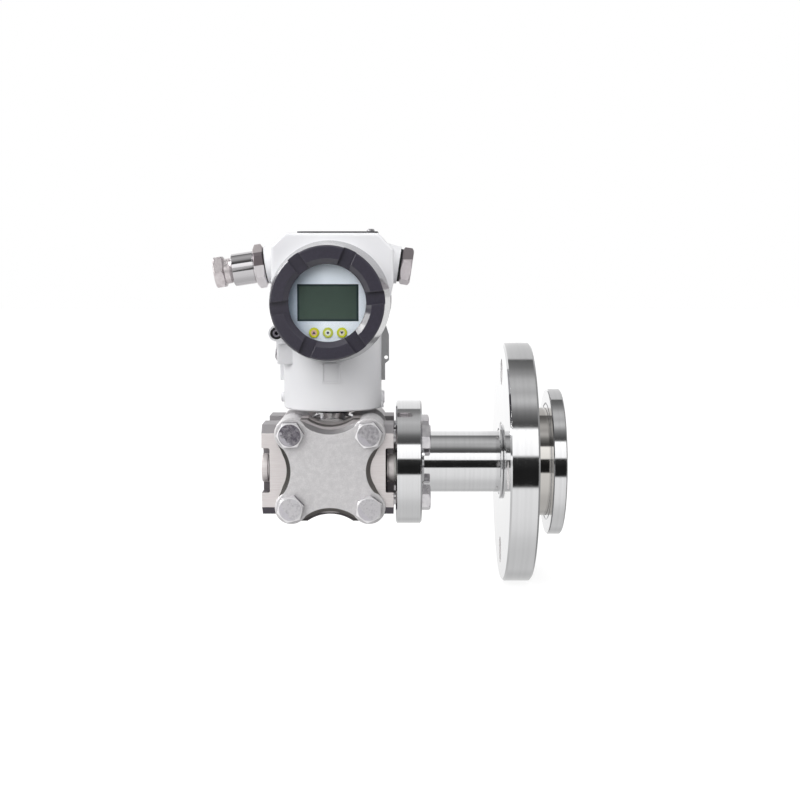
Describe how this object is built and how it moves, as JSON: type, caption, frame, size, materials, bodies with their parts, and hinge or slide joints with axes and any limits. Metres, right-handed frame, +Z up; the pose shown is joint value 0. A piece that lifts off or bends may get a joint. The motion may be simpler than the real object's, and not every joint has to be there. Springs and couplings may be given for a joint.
{
  "type": "differential pressure transmitter",
  "caption": "Differential pressure transmitter with display housing on a bolted sensor module and a direct-mounted flanged diaphragm seal.",
  "frame": {"origin": "centre of the diaphragm seal's gasket face", "axes": "+X along the flange axis into the process, -Y the display side, +Z up along the sensor neck"},
  "size_m": [0.2389, 0.165, 0.2431],
  "materials": {
    "housing_paint": "satin",
    "cover_paint": "gloss",
    "cast_stainless": "satin",
    "turned_stainless": "polished",
    "bolt_steel": "satin",
    "diaphragm_foil": "satin",
    "black_rubber": "matte",
    "white_gasket": "matte",
    "plated_brass": "satin",
    "potting_case": "matte",
    "face_print": "satin",
    "lcd_screen": "gloss",
    "window_glass": "gloss",
    "key_yellow": "gloss",
    "key_pale": "gloss",
    "plate_steel": "satin",
    "terminal_plastic": "matte"
  },
  "bodies": {
    "base": {"sensor_capsule": "turned_stainless", "high_diaphragm": "diaphragm_foil", "low_diaphragm": "diaphragm_foil", "capsule_gaskets": "white_gasket", "high_side_flange": "cast_stainless", "low_side_flange": "cast_stainless", "flange_bolts": "bolt_steel", "flange_nuts": "bolt_steel", "side_plug": "bolt_steel", "port_gaskets": "white_gasket", "adapter_plate": "turned_stainless", "adapter_bolts": "bolt_steel", "neck_tube": "turned_stainless", "capillary_tube": "turned_stainless", "seal_body": "turned_stainless", "process_diaphragm": "diaphragm_foil", "neck_ring": "black_rubber"},
    "loose_flange": {"process_flange": "turned_stainless"},
    "housing": {"housing_shell": "housing_paint", "neck_set_screws": "bolt_steel", "cover_lock_screws": "bolt_steel", "cover_lock_rings": "black_rubber", "earth_clamp": "bolt_steel", "earth_screw": "bolt_steel", "electronics_module": "potting_case", "display_case": "potting_case", "display_face": "face_print", "lcd": "lcd_screen", "terminal_block": "terminal_plastic", "terminal_screws": "plated_brass", "gland_gasket": "black_rubber", "gland_body": "turned_stainless", "gland_seal": "black_rubber", "plug_gasket": "black_rubber", "conduit_plug": "bolt_steel", "plate_screw": "bolt_steel"},
    "front_cover_body": {"front_cover": "cover_paint", "window_gasket": "black_rubber", "window_glass": "window_glass", "window_retainer": "potting_case", "front_cover_seal": "black_rubber"},
    "rear_cover_body": {"rear_cover": "cover_paint", "rear_cover_seal": "black_rubber"},
    "gland_nut_body": {"gland_nut": "turned_stainless"},
    "key_left_body": {"key_left": "key_yellow"},
    "key_middle_body": {"key_middle": "key_pale"},
    "key_right_body": {"key_right": "key_yellow"},
    "top_plate_body": {"top_plate": "plate_steel"}
  },
  "joints": [
    {"name": "flange_turn", "type": "hinge", "parent": "base", "child": "loose_flange", "pos_m": [-0.0308, 0, 0], "axis": [1, 0, 0], "continuous": true},
    {"name": "housing_turn", "type": "hinge", "parent": "base", "child": "housing", "pos_m": [-0.157, 0, 0.045], "axis": [0, 0, 1], "range_deg": [-180, 180]},
    {"name": "front_cover_turn", "type": "hinge", "parent": "housing", "child": "front_cover_body", "pos_m": [-0.157, -0.027, 0.1117], "axis": [0, -1, 0], "continuous": true},
    {"name": "rear_cover_turn", "type": "hinge", "parent": "housing", "child": "rear_cover_body", "pos_m": [-0.157, 0.027, 0.1117], "axis": [0, 1, 0], "continuous": true},
    {"name": "gland_nut_turn", "type": "hinge", "parent": "housing", "child": "gland_nut_body", "pos_m": [-0.22702, 0, 0.13212], "axis": [-0.9888, 0, -0.1495], "continuous": true},
    {"name": "key_left_press", "type": "slide", "parent": "housing", "child": "key_left_body", "axis": [0, 1, 0], "range_m": [0, 0.0008], "stiffness_N_per_m": 300, "springref_m": -0.0004},
    {"name": "key_middle_press", "type": "slide", "parent": "housing", "child": "key_middle_body", "axis": [0, 1, 0], "range_m": [0, 0.0008], "stiffness_N_per_m": 300, "springref_m": -0.0004},
    {"name": "key_right_press", "type": "slide", "parent": "housing", "child": "key_right_body", "axis": [0, 1, 0], "range_m": [0, 0.0008], "stiffness_N_per_m": 300, "springref_m": -0.0004},
    {"name": "top_plate_swivel", "type": "hinge", "parent": "housing", "child": "top_plate_body", "pos_m": [-0.1306, 0, 0.158], "axis": [0, 0, 1], "range_deg": [-100, 100]}
  ]
}
